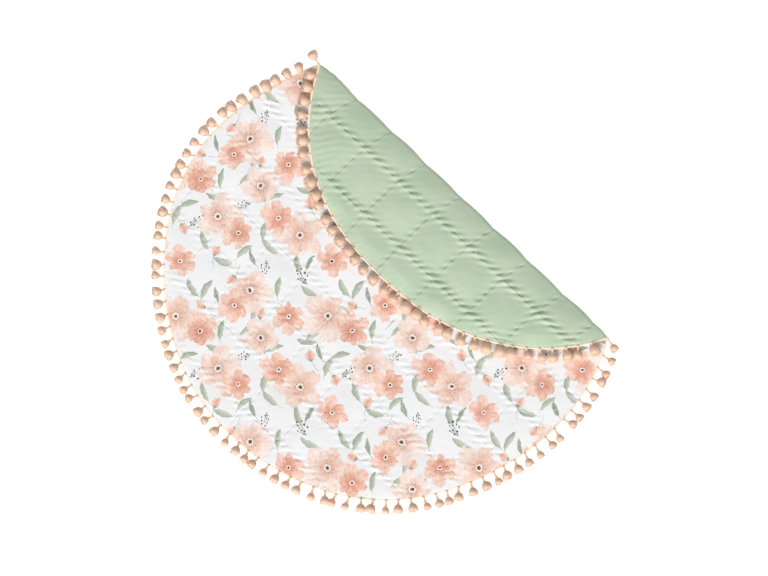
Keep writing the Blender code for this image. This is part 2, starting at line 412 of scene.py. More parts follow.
def disc_grid(cells, reach):
    """A square grid laid over the disc: x = a sqrt(1 - b^2 / 2), y = b sqrt(1 - a^2 / 2)."""
    line = np.linspace(-1.0, 1.0, cells + 1)
    a, b = np.meshgrid(line, line)
    x, y = a * np.sqrt(1 - b * b / 2), b * np.sqrt(1 - a * a / 2)
    turn = np.arctan2(x, y)
    radius = reach * np.hypot(x, y) * rim_radius(turn)
    along = CENTRE_ALONG + radius * np.sin(turn)
    across = CENTRE_ACROSS + radius * np.cos(turn)
    number = np.arange((cells + 1) ** 2).reshape(cells + 1, cells + 1)
    faces = np.stack(
        (number[:-1, :-1], number[:-1, 1:], number[1:, 1:], number[1:, :-1]), axis=-1
    ).reshape(-1, 4)
    return np.stack((along, across, 0 * along), axis=-1).reshape(-1, 3), faces


def values_of(items, key, width=1, kind=np.int64):
    """One flat array of a property of all of a mesh's elements."""
    values = np.empty(len(items) * width, kind)
    items.foreach_get(key, values)
    return values


def cut_flat(points, faces, rows, columns):
    """The flat grid with edges added along the rows and columns where the cloth bends sharply."""
    scratch = bpy.data.meshes.new("flat")
    scratch.from_pydata(points.tolist(), [], faces.tolist())
    flat = bmesh.new()
    flat.from_mesh(scratch)
    cuts = [((0, row, 0), (0, 1, 0)) for row in rows]
    cuts += [((column, 0, 0), (1, 0, 0)) for column in columns]
    for place, direction in cuts:
        geom = flat.verts[:] + flat.edges[:] + flat.faces[:]
        bmesh.ops.bisect_plane(flat, geom=geom, dist=3e-5, plane_co=place, plane_no=direction)
    flat.to_mesh(scratch)
    flat.free()
    places = values_of(scratch.vertices, "co", 3, np.float64)
    corners = values_of(scratch.loops, "vertex_index")
    sides = values_of(scratch.loops, "edge_index")
    sizes = values_of(scratch.polygons, "loop_total")
    ends = values_of(scratch.edges, "vertices", 2)
    open_edges = np.bincount(sides, minlength=len(scratch.edges)) == 1
    border = np.unique(ends.reshape(-1, 2)[open_edges])
    bpy.data.meshes.remove(scratch)
    places = places.reshape(-1, 3)[:, :2]
    turn, _ = polar(places[border, 0], places[border, 1])
    order = np.argsort(turn)
    return places, corners, sizes, border[order], turn[order]


def reversed_faces(corners, sizes):
    """The same faces, each with its corners in the other order."""
    ends = np.cumsum(sizes)
    starts = ends - sizes
    face = np.repeat(np.arange(len(sizes)), sizes)
    return corners[starts[face] + ends[face] - 1 - np.arange(len(corners))]


def band(outer, outer_turn, inner, inner_turn):
    """Triangles between two closed rings of points, joined by their turns."""
    outer_middle = (outer_turn + np.append(outer_turn[1:], outer_turn[0] + 2 * np.pi)) / 2
    inner_middle = (inner_turn + np.append(inner_turn[1:], inner_turn[0] + 2 * np.pi)) / 2
    nearest = np.searchsorted(inner_middle, outer_middle) % len(inner)
    opposite = np.searchsorted(outer_middle, inner_middle) % len(outer)
    on_outer = np.stack((outer, np.roll(outer, -1), inner[nearest]), axis=-1)
    on_inner = np.stack((np.roll(inner, -1), inner, outer[opposite]), axis=-1)
    return np.concatenate((on_outer, on_inner)).ravel()


def stitched_lines(low, high):
    """Places of the stitched lines between two flat coordinates."""
    first, last = math.ceil(low / PUFF - 0.5), math.floor(high / PUFF - 0.5)
    return [(number + 0.5) * PUFF for number in range(first, last + 1)]


def quilted_cloth(name, height_at, cloth, seam_height, faces_down, finish, slot, node):
    """One panel: its outer face on a fine grid, its seam face on a coarse one, and its rim."""
    rows = [
        BEND_START + BEND_LENGTH * step / FINE_BEND_STEPS for step in range(FINE_BEND_STEPS + 1)
    ]
    climb_rows = [BEND_START - CLIMB, BEND_START + BEND_LENGTH + CLIMB]
    lines = stitched_lines(-MAT_RADIUS - 0.05, MAT_RADIUS + 0.05)
    lines_across = [line for line in lines if min(abs(line - row) for row in climb_rows) > 1e-4]
    outer = cut_flat(*disc_grid(CLOTH_CELLS, 1.0), rows + climb_rows + lines_across, lines)
    inner = cut_flat(*disc_grid(SEAM_CELLS, SEAM_REACH), rows + climb_rows, [])
    flat, corners, sizes, border, border_turn = outer
    seam_flat, seam_corners, seam_sizes, seam_border, seam_turn = inner
    # The rim appears twice: on the outer face, and at the seam's height below it.
    rim_flat = flat[border]
    count, rim_count = len(flat), len(border)
    places = np.concatenate((flat, rim_flat, seam_flat))
    heights = np.concatenate(
        (height_at(*flat.T, cloth), np.full(rim_count + len(seam_flat), seam_height))
    )
    rim = count + np.arange(rim_count)
    seam_shift = count + rim_count
    wall = np.stack((np.roll(border, -1), border, rim, np.roll(rim, -1)), axis=-1).ravel()
    joined = band(rim, border_turn, seam_border + seam_shift, seam_turn)
    seam_face = reversed_faces(seam_corners, seam_sizes) + seam_shift
    all_corners = np.concatenate((corners, wall, joined, seam_face))
    all_sizes = np.concatenate(
        (sizes, np.full(rim_count, 4), np.full(len(joined) // 3, 3), seam_sizes)
    )
    points = folded(places[:, 0], places[:, 1], heights)
    piece = new_piece(name, points, all_corners, all_sizes, finish, [node], faces_down)
    flat_map = piece.data.uv_layers.new(name="FlatMat")
    used = values_of(piece.data.loops, "vertex_index")
    flat_map.data.foreach_set("uv", (places[used] / UV_SPAN + 0.5).astype(np.float32).ravel())
    piece.data.set_sharp_from_angle(angle=math.radians(70.0))
    return piece


def tube_faces(tubes, rings, sides):
    """Corner numbers and sizes of closed tubes, points in the order tube, ring, side."""
    number = np.arange(tubes * rings * sides).reshape(tubes, rings, sides)
    after = np.roll(number, -1, axis=2)
    walls = np.stack((number[:, :-1], after[:, :-1], after[:, 1:], number[:, 1:]), axis=-1)
    walls = walls.reshape(-1, 4)
    ends = np.concatenate((number[:, 0, ::-1], number[:, -1]))
    corners = np.concatenate((walls.ravel(), ends.ravel()))
    sizes = np.concatenate((np.full(len(walls), 4), np.full(len(ends), sides)))
    return corners, sizes


def tubes_along(centres, radii, sides):
    """Rings of points round centre lines: centre + radius (u cos t + v sin t), u and v square on."""
    tangent = np.gradient(centres, axis=-2)
    tangent /= np.linalg.norm(tangent, axis=-1, keepdims=True)
    guide = np.zeros_like(tangent)
    guide[..., 2] = 1.0
    steep = np.abs(tangent[..., 2:3]) > 0.9
    guide = np.where(steep, np.array((1.0, 0.0, 0.0)), guide)
    first = np.cross(tangent, guide)
    first /= np.linalg.norm(first, axis=-1, keepdims=True)
    second = np.cross(tangent, first)
    angle = 2 * np.pi * np.arange(sides) / sides
    ring = first[..., None, :] * np.cos(angle)[:, None] + second[..., None, :] * np.sin(angle)[:, None]
    return centres[..., None, :] + radii[..., None, None] * ring


# Materials: a small language of sockets


class Value:
    """A socket that holds a number. Its operators add the Math nodes that work them out."""

    def __init__(self, paint, socket):
        self.paint = paint
        self.socket = socket

    def math(self, operation, *others):
        return self.paint.node("ShaderNodeMath", {"operation": operation}, [self, *others])

    def math_after(self, operation, other):
        """The same with the two numbers the other way round."""
        return self.paint.node("ShaderNodeMath", {"operation": operation}, [other, self])

    __add__ = __radd__ = partialmethod(math, "ADD")
    __mul__ = __rmul__ = partialmethod(math, "MULTIPLY")
    __sub__ = partialmethod(math, "SUBTRACT")
    __rsub__ = partialmethod(math_after, "SUBTRACT")
    __truediv__ = partialmethod(math, "DIVIDE")
    __rtruediv__ = partialmethod(math_after, "DIVIDE")
    __neg__ = partialmethod(math, "MULTIPLY", -1.0)
    __pow__ = partialmethod(math, "POWER")
    least = partialmethod(math, "MINIMUM")
    most = partialmethod(math, "MAXIMUM")
    size = partialmethod(math, "ABSOLUTE")
    below = partialmethod(math, "LESS_THAN")
    sine = partialmethod(math, "SINE")
    fraction = partialmethod(math, "FRACT")
    floor = partialmethod(math, "FLOOR")


class Paint:
    """One material, built from expressions."""

    def __init__(self, name, roughness, sheen=0.0):
        self.material = bpy.data.materials.new(name)
        self.material.use_nodes = True
        self.tree = self.material.node_tree
        self.surface = self.tree.nodes["Principled BSDF"]
        self.surface.inputs["Roughness"].default_value = roughness
        self.surface.inputs["Specular IOR Level"].default_value = 0.3
        self.surface.inputs["Sheen Weight"].default_value = sheen
        self.surface.inputs["Sheen Roughness"].default_value = 0.5

    def node(self, kind, settings=None, inputs=(), output=0):
        """Adds a node: settings first, then values or links for its sockets, by order or name."""
        made = self.tree.nodes.new(kind)
        for key, value in (settings or {}).items():
            setattr(made, key, value)
        pairs = inputs.items() if isinstance(inputs, dict) else enumerate(inputs)
        for key, value in pairs:
            if isinstance(value, Value):
                self.tree.links.new(value.socket, made.inputs[key])
            elif value is not None:
                made.inputs[key].default_value = value
        return Value(self, made.outputs[output])

    def vector(self, operation, first, second=None, output=0):
        return self.node("ShaderNodeVectorMath", {"operation": operation}, [first, second], output)

    def scaled(self, vector, factor):
        settings = {"operation": "SCALE"}
        return self.node("ShaderNodeVectorMath", settings, {"Vector": vector, "Scale": factor})

    def parts(self, vector):
        """The three numbers of a vector."""
        split = self.node("ShaderNodeSeparateXYZ", {}, [vector])
        return [Value(self, output) for output in split.socket.node.outputs]

    def turned(self, vector, angle):
        """A vector turned about the mat's upright."""
        settings = {"rotation_type": "Z_AXIS"}
        return self.node("ShaderNodeVectorRotate", settings, {"Vector": vector, "Angle": angle})

    def mix(self, factor, first, second):
        """Colour or vector from first to second as the factor goes from 0 to 1."""
        pair = [value if isinstance(value, Value) else (*value, 1.0) for value in (first, second)]
        settings = {"data_type": "RGBA"}
        return self.node("ShaderNodeMix", settings, {0: factor, 6: pair[0], 7: pair[1]}, 2)

    def choose(self, factor, first, second):
        """Vector from first to second as the factor goes from 0 to 1."""
        settings = {"data_type": "VECTOR"}
        return self.node("ShaderNodeMix", settings, {0: factor, 4: first, 5: second}, 1)

    def rise(self, value, low, high, start=0.0, end=1.0):
        """A smooth step from start to end as the value goes from low to high."""
        settings = {"interpolation_type": "SMOOTHSTEP"}
        return self.node("ShaderNodeMapRange", settings, [value, low, high, start, end])

    def noise(self, place, scale, detail=2.0, output=0):
        inputs = {"Vector": place, "Scale": scale, "Detail": detail}
        return self.node("ShaderNodeTexNoise", {}, inputs, output)

    def flat_place(self):
        """The flat mat's own coordinates, in metres, from its UV map."""
        uv = self.node("ShaderNodeUVMap", {"uv_map": "FlatMat"})
        return self.scaled(self.vector("SUBTRACT", uv, (0.5, 0.5, 0.0)), UV_SPAN)

    def glow(self, colour, strength):
        """Lets the surface give off an even light."""
        self.surface.inputs["Emission Color"].default_value = (*colour, 1.0)
        self.surface.inputs["Emission Strength"].default_value = strength

    def finish(self, colour, height, depth, roughness=None):
        """Colour and relief of the surface. Height is in parts of the depth."""
        bump = self.node("ShaderNodeBump", {}, {"Distance": depth, "Height": height})
        self.tree.links.new(bump.socket, self.surface.inputs["Normal"])
        self.tree.links.new(colour.socket, self.surface.inputs["Base Color"])
        if roughness is not None:
            self.tree.links.new(roughness.socket, self.surface.inputs["Roughness"])
        return self.material


def weave_height(paint, place, thread):
    """Plain weave: threads over and under each other, 0 to 1."""
    along, across, _ = paint.parts(place)
    warp = (along * (2 * math.pi / thread)).sine()
    weft = (across * (2 * math.pi / thread)).sine()
    slubs = paint.noise(place, 900.0, 1.0)
    return warp * weft * 0.25 + slubs * 0.5 + 0.25


def sewing(paint, place):
    """Thread of the stitched lines: (how much thread shows, how deep the groove is). The groove's mask
    also sets painted shade along the lines.
    """
    along, across, _ = paint.parts(place)
    thread = None
    groove = None
    for over, along_line in ((along, across), (across, along)):
        away = ((over / PUFF).fraction() - 0.5).size() * PUFF
        dash = (along_line / 0.0034).fraction()
        length = paint.rise((dash - 0.5).size(), 0.30, 0.40, 1.0, 0.0)
        shows = paint.rise(away, 0.0003, 0.0006, 1.0, 0.0) * length
        sunk = paint.rise(away, 0.0, 0.0032, 1.0, 0.0)
        thread = shows if thread is None else thread.most(shows)
        groove = sunk if groove is None else groove.most(sunk)
    return thread, groove


# The print: an all-over floral repeat of its own, charted one by one


REPEAT = 0.340

# Centre in the repeat in millimetres, turn in degrees, size in millimetres and tone in tenths.
# A sprig's size is in thousandths of its drawn size.
DEEP_BLOOMS = (
    (50, 118, 20, 42, 7),
    (300, 85, 75, 39, 3),
    (215, 205, 140, 42, 10),
    (290, 262, 250, 36, 5),
    (72, 238, 310, 40, 2),
    (170, 22, 200, 37, 8),
)
PALE_BLOOMS = (
    (98, 80, 10, 56, 4),
    (254, 122, 130, 50, 8),
    (160, 238, 260, 57, 2),
    (326, 296, 40, 50, 6),
    (10, 190, 170, 42, 5),
)
PALE_LEAVES = (
    (160, 128, 65, 52, 3),
    (188, 152, 15, 46, 8),
    (13, 178, 100, 54, 5),
    (118, 292, 150, 50, 2),
    (222, 68, 110, 48, 6),
    (260, 208, 80, 46, 9),
    (322, 210, 30, 50, 4),
    (226, 300, 60, 52, 7),
    (30, 52, 135, 50, 1),
    (112, 180, 170, 48, 6),
    (265, 20, 160, 50, 3),
    (48, 305, 80, 46, 8),
)
DARK_LEAVES = (
    (140, 158, 110, 40, 5),
    (250, 285, 100, 40, 2),
    (118, 18, 60, 42, 8),
    (30, 200, 60, 38, 4),
    (330, 30, 110, 42, 6),
)
BERRY_SPRIGS = (
    (205, 108, 30, 1000, 5),
    (315, 150, 200, 800, 5),
    (105, 325, 120, 1000, 5),
    (20, 10, 260, 800, 5),
)
MORE_LEAVES = (
    (16, 90, 80, 48, 6),
    (128, 198, 35, 50, 3),
    (247, 165, 165, 46, 7),
    (195, 300, 120, 50, 5),
    (335, 245, 70, 44, 2),
    (92, 15, 105, 48, 8),
    (312, 45, 40, 46, 4),
    (40, 168, 20, 44, 9),
)
BUDS = (
    (120, 150, 100, 29, 6),
    (285, 320, 220, 27, 3),
    (10, 245, 70, 28, 9),
    (215, 262, 150, 26, 5),
    (250, 45, 60, 27, 2),
    (178, 95, 290, 28, 7),
)


def nearest_motif(paint, place, rows):
    """The motif whose centre is nearest, over the whole repeat.

    Returns the place in that motif's own frame, in metres, its size and its tone.
    """
    best_away = None
    best_place = None
    best_facts = None
    for x, y, turn, size, tone in rows:
        shift = (0.5 - x / 1000 / REPEAT, 0.5 - y / 1000 / REPEAT, 0.5)
        wrapped = paint.vector("FRACTION", paint.vector("ADD", place, shift))
        away = paint.vector("DISTANCE", wrapped, (0.5, 0.5, 0.5), 1)
        facts = (math.radians(turn), size / 1000, tone / 10)
        if best_away is None:
            best_away, best_place, best_facts = away, wrapped, facts
            continue
        nearer = away.below(best_away)
        best_place = paint.choose(nearer, best_place, wrapped)
        best_facts = paint.choose(nearer, best_facts, facts)
        best_away = best_away.least(away)
    centred = paint.scaled(paint.vector("SUBTRACT", best_place, (0.5, 0.5, 0.5)), REPEAT)
    turn, size, tone = paint.parts(best_facts)
    return paint.turned(centred, -turn), size, tone


def petals_of(paint, turn, radius, size, tone, petals, ragged, brush, wash):
    """One whorl of petals: its mask, and how deep its colour is, 0 to 1 or a little more.

    Outline = size * (1.1 - 0.32 |2 a|^2.4 - chance - brush), with a across the petal, -0.5 to 0.5.
    """
    spread = turn * (petals / (2 * math.pi)) + brush * 0.5
    whole = spread.floor()
    across = (spread - whole) - 0.5
    seed = whole * 3.7 + tone * 17.0
    chance = paint.node("ShaderNodeTexWhiteNoise", {"noise_dimensions": "1D"}, {"W": seed}, 0)
    edge = (across.size() * 2.0) ** 2.4
    outline = size * (1.10 - edge * 0.32 - chance * ragged + (brush - 0.5) * 0.55 + (wash - 0.5) * 0.25)
    inside = outline - radius
    mask = paint.rise(inside, -0.0006, 0.0022)
    share = radius / size
    strokes = paint.node("ShaderNodeCombineXYZ", {}, [spread * 5.0, share * 1.6, tone * 9.0])
    streak = paint.noise(strokes, 1.6, 2.0)
    heart = paint.rise(share, 0.12, 0.70, 0.45, 0.0)
    overlap = paint.rise(across, -0.5, 0.4, 0.0, 0.30)
    rim = paint.rise(inside, 0.0005, 0.0040, 0.32, 0.0) * paint.rise(wash, 0.40, 0.60)
    depth = heart + overlap + rim + (streak - 0.5) * 1.5 + chance * 0.35 + (wash - 0.5) * 0.7
    return mask, depth


def bloom(paint, place, rows, petals, ragged, brush, wash):
    """A flower seen from above, of two whorls, the inner one smaller and set between the outer.

    Returns its mask, its depth of colour, its radius from the middle in metres, and its turn.
    """
    own, size, tone = nearest_motif(paint, place, rows)
    x, y, _ = paint.parts(own)
    radius = paint.vector("LENGTH", own, None, 1)
    turn = y.math("ARCTAN2", x)
    mask, depth = petals_of(paint, turn, radius, size, tone, petals, ragged, brush, wash)
    half = math.pi / petals
    upper, upper_depth = petals_of(
        paint, turn + half, radius, size * 0.68, tone + 0.37, petals, ragged, wash, brush
    )
    depth = depth + upper * (upper_depth * 0.6 - depth * 0.2 + 0.10)
    return mask.most(upper), depth, radius, turn


def ring_of_dots(paint, radius, turn, count, distance, dot):
    """Small dots in a ring round a flower's middle."""
    sector = (turn * (count / (2 * math.pi))).fraction() - 0.5
    sideways = sector * (2 * math.pi / count) * distance
    off = radius - distance
    away = (sideways * sideways + off * off) ** 0.5
    return paint.rise(away, dot * 0.7, dot * 1.2, 1.0, 0.0)


def leaf(paint, place, rows, slimness, stalk=0.3):
    """A pointed leaf: half width = size * slimness * (1 - (t / half length)^2), on a thin stalk.

    Returns its mask, the place across it as a share of its half width, along it from -1 to 1,
    and its tone.
    """
    own, size, tone = nearest_motif(paint, place, rows)
    x, y, _ = paint.parts(own)
    along = x / (size * 0.5)
    bend = y + (along * along) * (size * 0.07)
    width = (1.0 - along * along * 0.98) * size * slimness
    blade = paint.rise(width - bend.size(), -0.0002, 0.0008)
    inside = blade * along.size().below(1.0)
    stem = paint.rise(bend.size(), 0.0004, 0.0009, 1.0, 0.0)
    stem = stem * (along + 1.0 + stalk / 2).size().below(stalk / 2 + 0.05)
    return inside.most(stem * 0.8), bend / width.most(0.0004), along, tone


def berries(paint, place, rows, count, dot):
    """Dots on thin stalks: (dots, stalks)."""
    own, size, _ = nearest_motif(paint, place, rows)
    own = paint.scaled(own, 1.0 / size)
    dots = None
    stalks = None
    for number in range(count):
        turn = math.radians(137.5 * number)
        reach = 0.0045 + 0.0125 * math.sqrt(number / count)
        centre = (0.006 + reach * math.cos(turn), 0.8 * reach * math.sin(turn), 0.0)
        away = paint.vector("DISTANCE", own, centre, 1)
        spot = paint.rise(away, dot * 0.75, dot * (1.05 + 0.25 * (number % 3)), 1.0, 0.0)
        dots = spot if dots is None else dots.most(spot)
        if number % 3:
            continue
        # Stalk: the part of a line from the sprig's foot to this berry.
        start = Vector((-0.016, 0.0, 0.0))
        line = Vector(centre) - start
        along = paint.vector("DOT_PRODUCT", paint.vector("SUBTRACT", own, tuple(start)), tuple(line), 1)
        share = (along / line.length_squared).most(0.0).least(1.0)
        foot = paint.vector("ADD", paint.scaled(tuple(line), share), tuple(start))
        stalk = paint.rise(paint.vector("DISTANCE", own, foot, 1), 0.0004, 0.0009, 1.0, 0.0)
        stalks = stalk if stalks is None else stalks.most(stalk)
    return dots, stalks


def sage_leaves(paint, repeat, rows, wash, cloth, under):
    """Washed green leaves with a darker midrib and tip: (mask, what is under them, their colour)."""
    mask, across, along, tone = leaf(paint, repeat, rows, 0.150)
    green = paint.mix(paint.rise(across + wash * 1.2, 0.0, 1.4), shade(192, 199, 180), tuple(cloth.leaf))
    green = paint.mix(paint.rise(along + wash, 0.6, 1.7, 0.0, 0.6), green, shade(128, 142, 124))
    green = paint.mix(paint.rise(across.size(), 0.0, 0.13, 0.5, 0.0), green, shade(142, 155, 137))
    return mask * (0.78 + tone * 0.22), under, green


def flower_print(paint, place, cloth):
    """Colour of the printed cotton, from the ground up: leaves, berries, buds, blooms."""
    # The print runs square to the photograph, and the quilting slants across it.
    upright = paint.turned(place, LIE_TURN)
    wobble = paint.vector("SUBTRACT", paint.noise(upright, 85.0, 3.0, 1), (0.5, 0.5, 0.5))
    loose = paint.vector("ADD", upright, paint.scaled(wobble, 0.009))
    repeat = paint.scaled(loose, 1.0 / REPEAT)
    repeat = paint.vector("MULTIPLY", repeat, (1.0, 1.0, 0.0))
    brush = paint.noise(upright, 42.0, 4.0)
    wash = paint.noise(upright, 130.0, 3.0)
    tint = paint.noise(upright, 9.0, 2.0)
    ground = cloth.ground
    colour = paint.mix(paint.rise(tint, 0.3, 0.7), tuple(ground), tuple(0.965 * v for v in ground))

    for rows in (PALE_LEAVES, MORE_LEAVES):
        colour = paint.mix(*sage_leaves(paint, repeat, rows, wash, cloth, colour))

    mask, across, along, tone = leaf(paint, repeat, DARK_LEAVES, 0.125)
    line = paint.rise(across.size(), 0.62, 0.92).most(paint.rise(across.size(), 0.05, 0.16, 0.8, 0.0))
    line = line.most(paint.rise(along, 0.72, 0.9)) * paint.rise(wash, 0.35, 0.5, 0.35, 1.0)
    green = paint.mix(paint.rise(wash, 0.3, 0.7), shade(184, 192, 174), shade(156, 168, 150))
    colour = paint.mix(mask, colour, paint.mix(line, green, tuple(cloth.dark_leaf)))

    dots, stalks = berries(paint, repeat, BERRY_SPRIGS, 10, 0.0019)
    colour = paint.mix(stalks * 0.8, colour, shade(108, 116, 108))
    colour = paint.mix(dots, colour, tuple(cloth.berry))

    mask, across, along, tone = leaf(paint, repeat, BUDS, 0.40, 1.7)
    bud = paint.mix(paint.rise(across.size() + wash, 0.4, 1.3), shade(228, 158, 132), shade(245, 208, 192))
    bud = paint.mix(paint.rise(along + wash * 0.5, -0.20, -0.45), bud, shade(138, 152, 132))
    colour = paint.mix(mask * 0.9, colour, bud)

    mask, depth, radius, turn = bloom(paint, repeat, PALE_BLOOMS, 5, 0.26, brush, wash)
    pale = paint.mix(depth, shade(248, 232, 224), tuple(cloth.pale_bloom))
    pale = paint.mix(paint.rise(depth, 0.75, 1.5), pale, shade(231, 180, 158))
    colour = paint.mix(mask * (0.80 + wash * 0.25), colour, pale)
    halo = paint.rise(radius, 0.006, 0.010, 0.7, 0.0)
    colour = paint.mix(halo, colour, shade(250, 244, 238))
    heart = paint.rise(radius + wash * 0.002, 0.0045, 0.0058, 1.0, 0.0)
    specks = ring_of_dots(paint, radius, turn, 12, 0.0100, 0.0011)
    specks = specks.most(ring_of_dots(paint, radius, turn + 0.2, 9, 0.0138, 0.0010))
    colour = paint.mix(heart.most(specks * 0.85), colour, shade(92, 84, 78))

    mask, depth, radius, turn = bloom(paint, repeat, DEEP_BLOOMS, 6, 0.34, brush, wash)
    deep = paint.mix(depth, shade(248, 216, 200), tuple(cloth.deep_bloom))
    deep = paint.mix(paint.rise(depth, 0.8, 1.6), deep, shade(214, 138, 110))
    colour = paint.mix(mask * (0.86 + wash * 0.2), colour, deep)
    colour = paint.mix(paint.rise(radius, 0.0042, 0.0058, 1.0, 0.0), colour, shade(250, 244, 238))
    colour = paint.mix(paint.rise(radius, 0.0020, 0.0032, 1.0, 0.0), colour, tuple(cloth.berry))
    return colour


def printed_cotton(cloth):
    """Fine white cotton with the watercolour flowers, its weave and its sewing thread."""
    paint = Paint("printed_cotton", 0.85, 0.15)
    place = paint.flat_place()
    colour = flower_print(paint, place, cloth)
    thread, groove = sewing(paint, place)
    # Painted shade: the print a little darker in the grooves of the stitched lines.
    colour = paint.mix(groove * 0.06, colour, shade(205, 196, 186))
    colour = paint.mix(thread * 0.4, colour, shade(246, 243, 238))
    crumple = paint.noise(place, 70.0, 3.0)
    height = weave_height(paint, place, cloth.thread) * 0.12 + crumple * 0.8 + thread * 0.3
    return paint.finish(colour, height - groove * 0.3, 0.0010)


def sage_cotton(cloth):
    """Plain sage cotton with a soft sateen face."""
    paint = Paint("sage_cotton", 0.62, 0.2)
    place = paint.flat_place()
    mottle = paint.noise(place, 14.0, 3.0)
    sage = tuple(cloth.sage)
    deeper = tuple(value * share for value, share in zip(sage, (0.90, 0.94, 0.90)))
    colour = paint.mix(paint.rise(mottle, 0.35, 0.65), sage, deeper)
    thread, groove = sewing(paint, place)
    # Painted shade: darker sage in the grooves of the stitched lines.
    colour = paint.mix(groove * 0.38, colour, tuple(value * 0.72 for value in sage))
    colour = paint.mix(thread * 0.25, colour, tuple(min(1.0, value * 1.15) for value in sage))
    crumple = paint.noise(place, 60.0, 3.0)
    height = weave_height(paint, place, cloth.thread) * 0.10 + crumple * 0.8 + thread * 0.3
    roughness = paint.rise(mottle, 0.2, 0.8, 0.55, 0.70)
    return paint.finish(colour, height - groove * 0.4, 0.0010, roughness)


def yarn_finish(name, colour, dark, light):
    """Spun yarn: its tone follows each strand and holds painted shade, fine fibres run over it, and it
    glows a little as painted light.
    """
    paint = Paint(name, 0.9, 0.35)
    tone = paint.node("ShaderNodeAttribute", {"attribute_name": "tone"}, output=2)
    place = paint.node("ShaderNodeTexCoord", {}, output=3)
    fibres = paint.noise(place, 1400.0, 2.0)
    # Tone picks the dark colour, the yarn's own or the light one: partly the yarn's own tone, partly
    # painted shade.
    mixed = paint.mix(paint.rise(tone, 0.0, 0.55), dark, tuple(colour))
    mixed = paint.mix(paint.rise(tone, 0.5, 1.0), mixed, light)
    # Painted light: the yarn glows evenly, in place of light that passes through the loose fibres, which
    # also lightens its shaded side.
    paint.glow(colour, YARN_GLOW)
    return paint.finish(paint.mix(fibres * 0.25, mixed, dark), fibres, 0.0003)


# Pompoms and heading


def pompom_reach(turn):
    """How far a pompom reaches beyond the heading, shorter where the trim is tucked in."""
    off_tuck = (turn - TUCKED_TURN + math.pi) % (2 * math.pi) - math.pi
    tucked = TUCKED_REACH * math.exp(-((off_tuck / TUCKED_SPREAD) ** 2))
    return POMPOM_REACH + REACH_CHANGE * math.cos(turn - LONG_TURN) - tucked


def fold_end_turn(side):
    """Turn at which the rim passes the middle of the bend."""
    turns = np.linspace(0.0, math.pi, 20001)
    _, across = rim_place(side * turns, 0.0)
    return side * float(turns[np.argmin(np.abs(across - BEND_START - BEND_LENGTH / 2))])


def trim_lengths():
    """Each node of the trim with its pompoms: turn, reach and lean, drawn as in the solids."""
    chance = random.Random(7)
    on_print = FULL_TOP + REST_GAP
    stretches = (
        ("trim_flap", -FLAP_END, FLAP_END, FLAP_LENGTHS, on_print),
        ("trim_rim", RIM_START, 2 * math.pi - RIM_START, RIM_LENGTHS, 0.0),
    )
    lengths = []
    for name, first, last, count, rest in stretches:
        share = (last - first) / count
        for number in range(count):
            start = first + share * number
            turns = [
                start + share * (place + 0.5) / POMPOMS_EACH + chance.uniform(-MOST_SHIFT, MOST_SHIFT)
                for place in range(POMPOMS_EACH)
            ]
            leans = [chance.uniform(-MOST_LEAN, MOST_LEAN) for _ in turns]
            facts = [(turn, pompom_reach(turn), lean) for turn, lean in zip(turns, leans)]
            lengths.append((f"{name}_{number + 1}", facts, rest))
    for name, side in (("trim_corner_left", -1), ("trim_corner_right", 1)):
        lean = chance.uniform(-MOST_LEAN, MOST_LEAN)
        lengths.append((name, [(fold_end_turn(side), CORNER_REACH, lean)], 0.0))
    return lengths


def bezier(start, control, end, steps):
    """Points of (1-t)^2 a + 2 t (1-t) b + t^2 c, with t along the second last axis."""
    t = np.linspace(0.0, 1.0, steps)[:, None]
    start, control, end = (points[..., None, :] for points in (start, control, end))
    return (1 - t) ** 2 * start + 2 * t * (1 - t) * control + t * t * end


